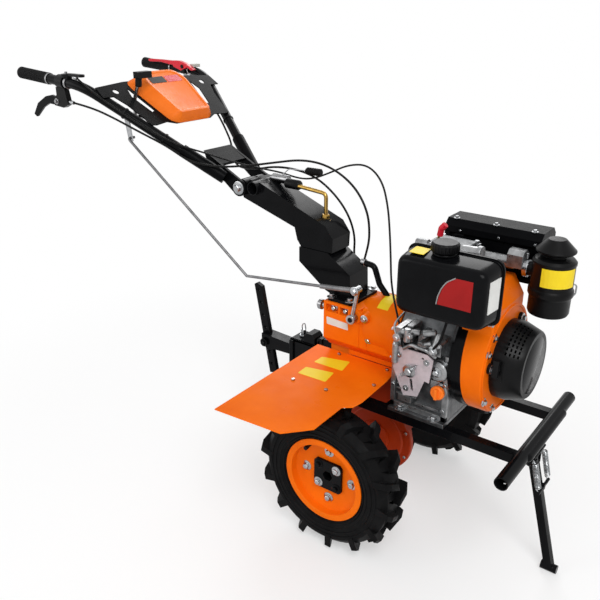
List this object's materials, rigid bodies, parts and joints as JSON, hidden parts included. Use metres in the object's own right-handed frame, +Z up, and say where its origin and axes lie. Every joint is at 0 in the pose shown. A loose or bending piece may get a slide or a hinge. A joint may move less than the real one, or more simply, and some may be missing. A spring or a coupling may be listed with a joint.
{
  "type": "walk-behind power weeder",
  "caption": "Walk-behind diesel power weeder: lugged wheels on a hex axle under the gearbox, open air-cooled engine, fenders, drag bar, folding stand and an adjustable handlebar.",
  "frame": {"origin": "on the ground under the middle of the outline", "axes": "+X forward towards the engine and bumper, +Y to the left, +Z up"},
  "size_m": [1.6853, 0.96, 1.1393],
  "materials": {
    "zinc_steel": "bright zinc plate",
    "tyre_rubber": "matt black rubber",
    "orange_paint": "gloss orange powder coat",
    "black_paint": "gloss black paint",
    "cast_aluminium": "sand-cast, bare",
    "black_plastic": "satin black plastic",
    "yellow_zinc": "yellow zinc plate",
    "black_rubber": "matt black rubber",
    "orange_plastic": "satin orange plastic"
  },
  "bodies": {
    "root": {"final_drive_case": "orange_paint", "clutch_housing": "orange_paint", "shift_cover": "zinc_steel", "gear_lever": "zinc_steel", "engine_rail_right": "black_paint", "engine_rail_left": "black_paint", "rail_cross": "black_paint", "bumper_bar": "black_paint", "engine_crankcase": "cast_aluminium", "engine_cylinder": "cast_aluminium", "rocker_cover": "cast_aluminium", "back_plate": "black_paint", "fan_shroud": "orange_paint", "recoil_starter": "black_paint", "fuel_tank": "black_paint", "tank_cap": "black_plastic", "tank_bracket": "black_paint", "inlet_pipe": "cast_aluminium", "muffler": "black_paint", "air_cleaner": "black_plastic", "fender_right": "orange_paint", "fender_left": "orange_paint", "hitch_bracket": "black_paint", "hitch_pin": "zinc_steel", "drag_bar": "black_paint", "drag_bar_arm": "black_paint", "handlebar_seat": "black_paint"},
    "wheels": {"axle": "zinc_steel", "tyre_right": "tyre_rubber", "rim_right": "orange_paint", "wheel_hub_right": "black_paint", "tyre_left": "tyre_rubber", "rim_left": "orange_paint", "wheel_hub_left": "black_paint"},
    "stand": {"stand_leg": "black_paint"},
    "column": {"handlebar_column": "black_paint", "swivel_clamp": "yellow_zinc"},
    "handlebar": {"handlebar_yoke": "black_paint", "handle_tube_right": "black_paint", "grip_right": "black_rubber", "handle_tube_left": "black_paint", "grip_left": "black_rubber", "console_bracket": "black_paint", "console_cover": "orange_plastic"}
  },
  "joints": [
    {"name": "wheel_spin", "type": "hinge", "parent": "root", "child": "wheels", "pos_m": [0.3135, 0, 0.203], "axis": [0, 1, 0], "continuous": true},
    {"name": "stand_fold", "type": "hinge", "parent": "root", "child": "stand", "pos_m": [0.7455, -0.035, 0.306], "axis": [0, 1, 0], "range_deg": [0, 100]},
    {"name": "column_swivel", "type": "hinge", "parent": "root", "child": "column", "pos_m": [0.1035, 0, 0.702], "axis": [0, 0, 1], "range_deg": [-45, 45]},
    {"name": "handlebar_tilt", "type": "hinge", "parent": "column", "child": "handlebar", "pos_m": [-0.1545, 0, 0.837], "axis": [0, 1, 0], "range_deg": [-10, 25]}
  ]
}
